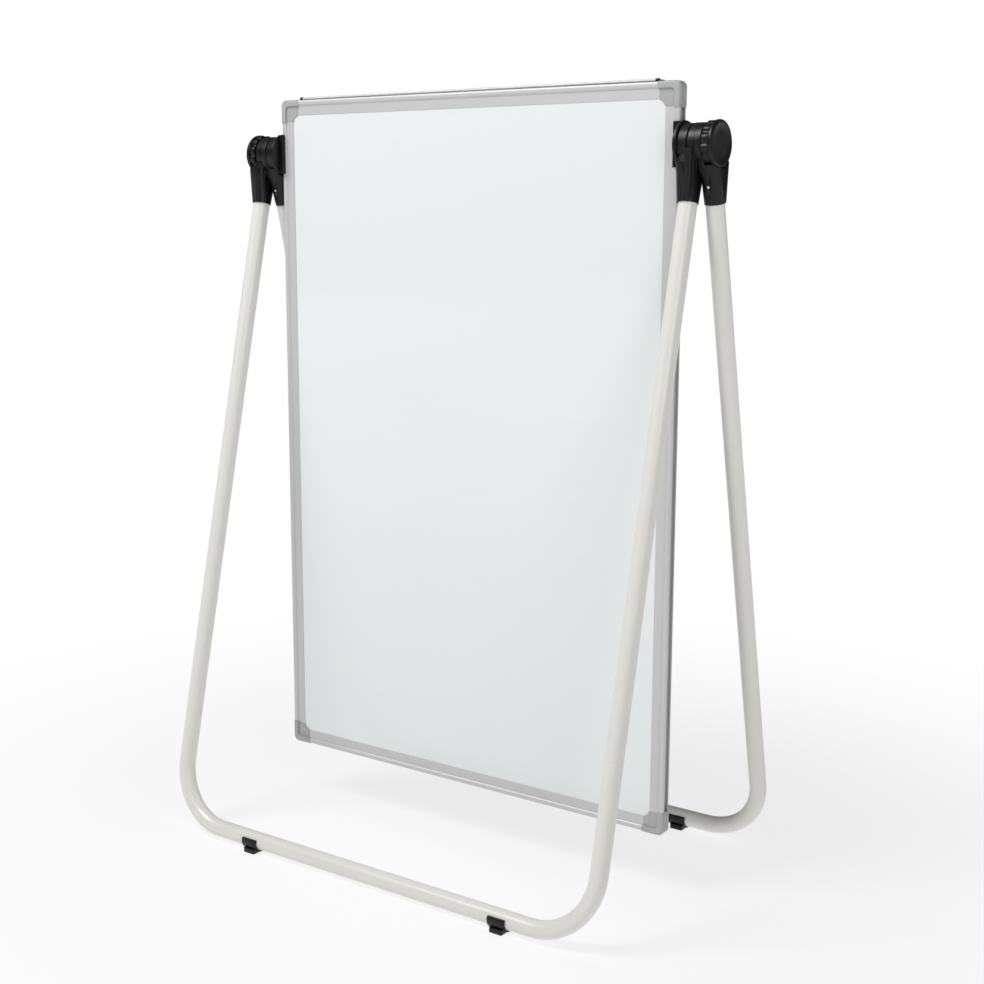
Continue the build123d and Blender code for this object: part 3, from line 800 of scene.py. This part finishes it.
def rail_clamp(side):
    """Two jaws over a side rail, a flange, a drum and the spigot that the sockets turn on."""
    hub = hubs()
    rail_side, rail_face = rail_corner()
    wall = rail_side + hub.clearance
    web_outer = wall + hub.web_thickness
    face = rail_face + hub.clearance
    half = hub.jaw_height / 2
    drum_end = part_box("right_hub_washers")[0].x - hub.eye_gap / 2
    spigot_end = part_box("right_rail_clamp")[1].x
    jaw_face = face + hub.jaw_thickness
    start = rail_side - hub.jaw_reach
    body = loft([((start, web_outer), (-jaw_face, jaw_face), height, sizes().edge_round)
                 for height in (-half, half)])
    body = without(body, block((start - half, wall), (-face, face), (-2 * half, 2 * half)))
    body = joined(body, rod(hub.flange_radius, wall + hub.eye_gap, flange_face(),
                            sizes().edge_round),
                  rod(hub.drum_radius, web_outer, drum_end, sizes().edge_round / 2),
                  rod(hub.spigot_radius, web_outer, spigot_end))
    body = without(body, rod(hub.bolt_radius, wall - hub.clearance, spigot_end + hub.clearance))
    return black_piece(placed(body, hub_turn(side)), f"{side}_clamp_moulding",
                       f"{side}_rail_clamp")


# ---- Rails and corner caps ----

OUTWARD_TURNS = {"right": 0.0, "top": -90.0, "left": 180.0, "bottom": 90.0}


def grooved_rail(side):
    """A CAD rail with its step cut to full depth and its channel opened to full width."""
    rail = rails()
    name = f"{side}_rail"
    low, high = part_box("panel_core")
    turn = Matrix.Rotation(radians(OUTWARD_TURNS[side]), 4, "Y")
    place = Matrix.Translation((low + high) / 2) @ turn
    mesh = merged_copy(name)
    mesh.transform(place.inverted())
    edge = max(vert.co.x for vert in mesh.verts)
    face = max(vert.co.y for vert in mesh.verts)
    end = max(vert.co.z for vert in mesh.verts) + rail.cut_margin
    half = rail.slot_width / 2
    cuts = [block((edge - rail.slot_depth, edge + rail.cut_margin), (-half, half), (-end, end))]
    for y_range in ((face - rail.flat_depth, face + rail.cut_margin),
                    (-face - rail.cut_margin, rail.flat_depth - face)):
        cuts.append(block((edge / 2, edge - rail.bead_width), y_range, (-end, end)))
    finish = "upright_rail" if side in SIDES else "level_rail"
    return stand_in(placed(without(mesh, *cuts), place), f"{name}_grooved", [name],
                    finish)


def stepped_cap(side, level):
    """A CAD corner cap with the step beside its bead cut to full depth."""
    rail = rails()
    name = f"{side}_{level}_corner_cap"
    low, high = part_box(name)
    corner = Vector((high.x if side == "right" else low.x, 0.0,
                     high.z if level == "top" else low.z))
    start = rail.bead_width + rail.cap_stand
    length_along = start + max(high - low)
    mesh = merged_copy(name)
    for front in (-1, 1):
        cut = loft([((start, length_along), (start, length_along), height, rail.cap_inner_round)
                    for height in (high.y - rail.flat_depth, high.y + rail.cut_margin)])
        inward = Matrix(((-1 if side == "right" else 1, 0, 0, corner.x), (0, 0, front, 0),
                         (0, -1 if level == "top" else 1, 0, corner.z), (0, 0, 0, 1)))
        mesh = without(mesh, placed(cut, inward))
    round_edges(mesh, sizes().cap_edge, hollows=False)
    return stand_in(mesh, f"{name}_stepped", [name], "grey_plastic")


# ---- Screws ----

HEAD_ROUND = 0.45      # the rim of a pan head, as a share of its height
RECESS_TAPER = 0.6     # floor of the cross recess against its mouth


def cross_faces(mesh, radius):
    """A round sheet divided so that a cross lies in its middle; returns the cross's faces."""
    reach, half = sizes().recess_reach, sizes().recess_width / 2
    lines = (-radius, -reach, -half, half, reach, radius)
    count = len(lines) - 1
    bmesh.ops.create_grid(mesh, x_segments=count, y_segments=count, size=1.0)
    for vert in mesh.verts:
        across, up = (lines[round((value + 1.0) * count / 2)] for value in vert.co[:2])
        vert.co = Vector((across, up, 0.0))
        if max(abs(across), abs(up)) == radius:
            vert.co *= radius / vert.co.length
    arms = []
    for face in mesh.faces:
        across, up = (abs(value) for value in face.calc_center_median()[:2])
        if (across < half and up < reach) or (up < half and across < reach):
            arms.append(face)
    return arms


def extruded_rim(mesh, rim, move, scale):
    """Carries an open rim on by a step along Z and a change of radius."""
    grown = bmesh.ops.extrude_edge_only(mesh, edges=rim)["geom"]
    verts = [item for item in grown if isinstance(item, bmesh.types.BMVert)]
    bmesh.ops.scale(mesh, vec=(scale, scale, 1.0), verts=verts)
    bmesh.ops.translate(mesh, vec=(0.0, 0.0, move), verts=verts)
    return [item for item in grown if isinstance(item, bmesh.types.BMEdge) and item.is_boundary]


def cross_screw(radius, head_height, shank_length):
    """A pan-head screw with a cross recess, its head's seat at the origin and its axis +Z."""
    mesh = bmesh.new()
    arms = cross_faces(mesh, radius)
    rim_height = head_height * (1.0 - HEAD_ROUND)
    for vert in mesh.verts:
        crown = 1.0 - (vert.co.length / radius) ** 2
        vert.co.z = rim_height + (head_height - rim_height) * crown
    rim = [edge for edge in mesh.edges if edge.is_boundary]
    dropped = bmesh.ops.extrude_face_region(mesh, geom=arms)["geom"]
    floor = [item for item in dropped if isinstance(item, bmesh.types.BMVert)]
    bmesh.ops.delete(mesh, geom=arms, context="FACES")
    bmesh.ops.scale(mesh, vec=(RECESS_TAPER, RECESS_TAPER, 1.0), verts=floor)
    bmesh.ops.translate(mesh, vec=(0.0, 0.0, -sizes().recess_depth), verts=floor)
    shank = sizes().shank_radius
    rim = extruded_rim(mesh, rim, -rim_height, 1.0)
    rim = extruded_rim(mesh, rim, 0.0, shank / radius)
    rim = extruded_rim(mesh, rim, -shank_length, 1.0)
    bmesh.ops.edgeloop_fill(mesh, edges=rim)
    bmesh.ops.recalc_face_normals(mesh, faces=mesh.faces)
    return mesh


def screw_set(node, direction, name):
    """Cross-recess screws in the places of the plain ones in a CAD node."""
    whole = bmesh.new()
    for centre, axis, low, high, radius in island_boxes(node, direction):
        head_height = sizes().head_height
        screw = cross_screw(radius, head_height, high - low - head_height)
        turn = Z_AXIS.rotation_difference(axis).to_matrix().to_4x4()
        seat = centre + axis * (high - head_height)
        screw.transform(Matrix.Translation(seat) @ turn)
        part = new_mesh(name, screw)
        whole.from_mesh(part)
        bpy.data.meshes.remove(part)
    return stand_in(whole, name, [node], "zinc")


def outward_in_board(place):
    """The outward direction at a screw in the edge of the board."""
    low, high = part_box("panel_core")
    if place.x < low.x or place.x > high.x:
        return X_AXIS * (1 if place.x > 0 else -1)
    return Z_AXIS * (1 if place.z > (low.z + high.z) / 2 else -1)


def toward_other_leg(place):
    """The direction of a socket's screw, square to its leg and into the stand."""
    end = ENDS[0] if place.y < 0 else ENDS[1]
    low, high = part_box(f"{end}_leg_tube")
    slope = (high.y - low.y) / (high.z - low.z)
    return Vector((0.0, -1.0 if place.y > 0 else 1.0, slope)).normalized()


# ---- Knobs ----

FLUTE_STEPS = 16            # facets from one flute to the next
DISH_WALL = 0.0012          # slope between the rim and the dished face of a knob cover
BACK_ROUND = 0.0012         # rounding of the inner rim of a knob cover
GRIP_RIM_ANGLE = radians(80)


def knob_cover(name):
    """A round cover with a rolled rim and a shallow dished face, looking out along X."""
    low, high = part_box(name)
    radius, depth = (high.z - low.z) / 2, high.x - low.x
    mesh = bmesh.new()
    bmesh.ops.create_cone(mesh, cap_ends=True, segments=ROUND_SEGMENTS, radius1=radius,
                          radius2=radius, depth=depth)
    for height, width in ((depth / 2, sizes().rim_round), (-depth / 2, BACK_ROUND)):
        rounded(mesh, level_rim(mesh, height), width, RIM_SEGMENTS, clamp=True)
    face = max(mesh.faces, key=lambda item: item.calc_center_median().z)
    steps = ((sizes().dish_inset - sizes().rim_round, 0.0), (DISH_WALL, -sizes().dish_depth),
             (radius / 3, sizes().dish_depth / 4))
    for thickness, rise in steps:
        bmesh.ops.inset_individual(mesh, faces=[face], thickness=thickness, depth=rise,
                                   use_even_offset=True)
    outward = X_AXIS if low.x > 0 else -X_AXIS
    turn = Z_AXIS.rotation_difference(outward).to_matrix().to_4x4()
    mesh.transform(Matrix.Translation((low + high) / 2) @ turn)
    return black_piece(mesh, f"{name}_dished", name)


def knob_grip(side):
    """The fluted part of a knob, with the bore for its insert."""
    hub = hubs()
    name = f"{side}_knob_grip"
    low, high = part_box("right_knob_grip")
    mesh = bmesh.new()
    bmesh.ops.create_cone(mesh, cap_ends=True, segments=hub.flutes * FLUTE_STEPS,
                          radius1=hub.grip_radius, radius2=hub.grip_radius,
                          depth=high.x - low.x)
    for vert in mesh.verts:
        turn = atan2(vert.co.y, vert.co.x) * hub.flutes
        cut = hub.flute_depth * ((1 + cos(turn)) / 2) ** 2
        vert.co.xy *= 1.0 - cut / hub.grip_radius
    rounded(mesh, sharper_than(mesh, GRIP_RIM_ANGLE), sizes().moulding_edge,
            sizes().edge_segments, clamp=True)
    mesh.transform(Matrix.Translation(((low.x + high.x) / 2, 0, 0)) @ UPRIGHT_TO_X)
    mesh = without(mesh, rod(hub.insert_radius, low.x - hub.clearance,
                             low.x + hub.insert_depth))
    return black_piece(placed(mesh, hub_turn(side)), f"{name}_fluted", name)


# ---- Stage ----

WHITE = (1.0, 1.0, 1.0, 1.0)
FLOOR_RADIUS, FLOOR_SEGMENTS = 14.0, 64
FLOOR_FADE = (0.35, 1.3)    # where the floor starts and ends its fade into the pale room
FLOOR_GLOW = 0.78           # share of its own light in the floor under the easel
KEY_PLACE, KEY_SIZE = Vector((-1.2, -1.75, 3.3)), 1.4
FILL_PLACE, FILL_SIZE = Vector((2.6, -1.7, 1.7)), 1.4


def floor_finish():
    """A pale matt floor that fades into the room's own brightness far from the easel."""
    material, tree, shader = new_material("pale_floor", Roughness=0.7)
    shader.inputs["Base Color"].default_value = (*colours().floor, 1.0)
    place = add(tree, "ShaderNodeTexCoord").outputs["Object"]
    distance = add(tree, "ShaderNodeVectorMath", {0: place}, operation="LENGTH").outputs["Value"]
    glow = add(tree, "ShaderNodeEmission", {"Color": WHITE})
    mixed = add(tree, "ShaderNodeMixShader", {
        0: ramp(tree, distance, *FLOOR_FADE, to_low=FLOOR_GLOW), 1: shader.outputs[0],
        2: glow.outputs[0]})
    tree.links.new(mixed.outputs[0], tree.nodes["Material Output"].inputs["Surface"])
    return material


def add_floor():
    mesh = bmesh.new()
    bmesh.ops.create_circle(mesh, cap_ends=True, segments=FLOOR_SEGMENTS, radius=FLOOR_RADIUS)
    data = new_mesh("floor", mesh)
    data.materials.append(floor_finish())
    new_object("floor", data)


def add_light(name, place, size, power):
    """A square soft light that looks at the middle of the easel."""
    data = bpy.data.lights.new(name, "AREA")
    data.size, data.energy = size, power
    light = new_object(name, data)
    light.location = place
    aim = (cad_box[0] + cad_box[1]) / 2 - place
    light.rotation_mode = "QUATERNION"
    light.rotation_quaternion = aim.to_track_quat("-Z", "Y")


def add_room():
    """An even pale room, plain white to the camera."""
    world = bpy.data.worlds.new("pale_room")
    world.use_nodes = True
    tree = world.node_tree
    lit, seen = (add(tree, "ShaderNodeBackground", {"Color": WHITE, "Strength": strength})
                 for strength in (studio().room_light, 1.0))
    to_camera = add(tree, "ShaderNodeLightPath").outputs["Is Camera Ray"]
    mixed = add(tree, "ShaderNodeMixShader", {0: to_camera, 1: lit.outputs[0],
                                              2: seen.outputs[0]})
    tree.links.new(mixed.outputs[0], tree.nodes["World Output"].inputs["Surface"])
    bpy.context.scene.world = world


def add_camera():
    """The camera at the photograph's viewing angle."""
    view = studio()
    back = Vector((sin(view.azimuth) * cos(view.elevation),
                   -cos(view.azimuth) * cos(view.elevation), sin(view.elevation)))
    right = Vector((cos(view.azimuth), sin(view.azimuth), 0.0))
    turn = Matrix((right, back.cross(right), back)).transposed()
    turn = turn @ Matrix.Rotation(view.roll, 3, "Z")
    data = bpy.data.cameras.new("camera")
    data.lens = view.lens
    camera = new_object("camera", data)
    camera.matrix_world = Matrix.Translation(view.camera_place) @ turn.to_4x4()
    bpy.context.scene.camera = camera


# ---- Operators ----

class EASEL_OT_stage(bpy.types.Operator):
    """Adds the pale floor, the room, two soft lights and the camera"""
    bl_idname = "easel.stage"
    bl_label = "Stage"

    def execute(self, context):
        add_floor()
        add_room()
        add_light("key_light", KEY_PLACE, KEY_SIZE, studio().key_power)
        add_light("fill_light", FILL_PLACE, FILL_SIZE, studio().fill_power)
        add_camera()
        context.scene.view_settings.view_transform = "Standard"
        return {"FINISHED"}


class EASEL_OT_leg_tubes(bpy.types.Operator):
    """Powder coats the two bent tubes"""
    bl_idname = "easel.leg_tubes"
    bl_label = "Leg Tubes"

    def execute(self, context):
        paint([f"{end}_leg_tube" for end in ENDS], "powder")
        return {"FINISHED"}


class EASEL_OT_leg_sockets(bpy.types.Operator):
    """Makes the four black leg sockets with their saddles"""
    bl_idname = "easel.leg_sockets"
    bl_label = "Leg Sockets"

    def execute(self, context):
        for end in ENDS:
            for side in SIDES:
                leg_socket(end, side)
        return {"FINISHED"}


class EASEL_OT_foot_clips(bpy.types.Operator):
    """Softens the four clip-on feet"""
    bl_idname = "easel.foot_clips"
    bl_label = "Foot Clips"

    def execute(self, context):
        soften([f"{end}_{side}_foot_clip" for end in ENDS for side in SIDES],
               sizes().moulding_edge)
        return {"FINISHED"}


class EASEL_OT_hubs(bpy.types.Operator):
    """Makes the clamps of both hubs and finishes the metal inside them"""
    bl_idname = "easel.hubs"
    bl_label = "Hubs"

    def execute(self, context):
        for side in SIDES:
            rail_clamp(side)
        paint([f"{side}_{part}" for side in SIDES
               for part in ("slide_nut", "clamp_bolt", "hub_washers")], "zinc")
        return {"FINISHED"}


class EASEL_OT_knobs(bpy.types.Operator):
    """Makes the dished knob covers and the fluted grips"""
    bl_idname = "easel.knobs"
    bl_label = "Knobs"

    def execute(self, context):
        for side in SIDES:
            knob_cover(f"{side}_knob_cover")
            knob_grip(side)
        paint([f"{side}_knob_insert" for side in SIDES], "brass")
        return {"FINISHED"}


class EASEL_OT_board(bpy.types.Operator):
    """Finishes the two enamelled sheets and the core between them"""
    bl_idname = "easel.board"
    bl_label = "Board"

    def execute(self, context):
        paint([f"{end}_writing_sheet" for end in ENDS], "enamel")
        paint(["panel_core"], "card")
        return {"FINISHED"}


class EASEL_OT_rails(bpy.types.Operator):
    """Makes the four grooved rails and finishes the flip-chart strip"""
    bl_idname = "easel.rails"
    bl_label = "Rails"

    def execute(self, context):
        for side in OUTWARD_TURNS:
            grooved_rail(side)
        paint(["flip_chart_strip"], "level_rail")
        return {"FINISHED"}


class EASEL_OT_corner_caps(bpy.types.Operator):
    """Makes the stepped corner caps and softens the plugs on the flip-chart strip"""
    bl_idname = "easel.corner_caps"
    bl_label = "Corner Caps"

    def execute(self, context):
        for side in SIDES:
            for level in ("top", "bottom"):
                stepped_cap(side, level)
        soften(["strip_end_plugs"], sizes().cap_edge)
        return {"FINISHED"}


class EASEL_OT_screws(bpy.types.Operator):
    """Makes the cross-recess screws"""
    bl_idname = "easel.screws"
    bl_label = "Screws"

    def execute(self, context):
        for kind in ("corner_cap", "height_stop"):
            screw_set(f"{kind}_screws", outward_in_board, f"{kind}_cross_screws")
        screw_set("strip_screws", lambda place: Y_AXIS, "strip_cross_screws")
        for end in ENDS:
            screw_set(f"{end}_socket_screws", toward_other_leg, f"{end}_socket_cross_screws")
        return {"FINISHED"}


OPERATORS = (EASEL_OT_stage, EASEL_OT_leg_tubes, EASEL_OT_leg_sockets, EASEL_OT_foot_clips,
             EASEL_OT_hubs, EASEL_OT_knobs, EASEL_OT_board, EASEL_OT_rails,
             EASEL_OT_corner_caps, EASEL_OT_screws)


class EASEL_PT_panel(bpy.types.Panel):
    """Lists the sizes, colours and steps of the easel"""
    bl_label = "Whiteboard Easel"
    bl_idname = "EASEL_PT_panel"
    bl_space_type = "VIEW_3D"
    bl_region_type = "UI"
    bl_category = "Easel"

    def draw(self, context):
        layout = self.layout
        for owner, group in GROUPS.items():
            box = layout.box()
            for name in group.__annotations__:
                box.prop(getattr(context.scene, owner), name)
        for step in OPERATORS:
            layout.operator(step.bl_idname)


def register():
    for group in (*GROUPS.values(), *OPERATORS, EASEL_PT_panel):
        bpy.utils.register_class(group)
    for name, group in GROUPS.items():
        setattr(bpy.types.Scene, name, PointerProperty(type=group))


def unregister():
    for name in GROUPS:
        delattr(bpy.types.Scene, name)
    for group in reversed((*GROUPS.values(), *OPERATORS, EASEL_PT_panel)):
        bpy.utils.unregister_class(group)


def main():
    register()
    for step in OPERATORS:
        group, name = step.bl_idname.split(".")
        getattr(getattr(bpy.ops, group), name)()


if __name__ == "__main__":
    main()
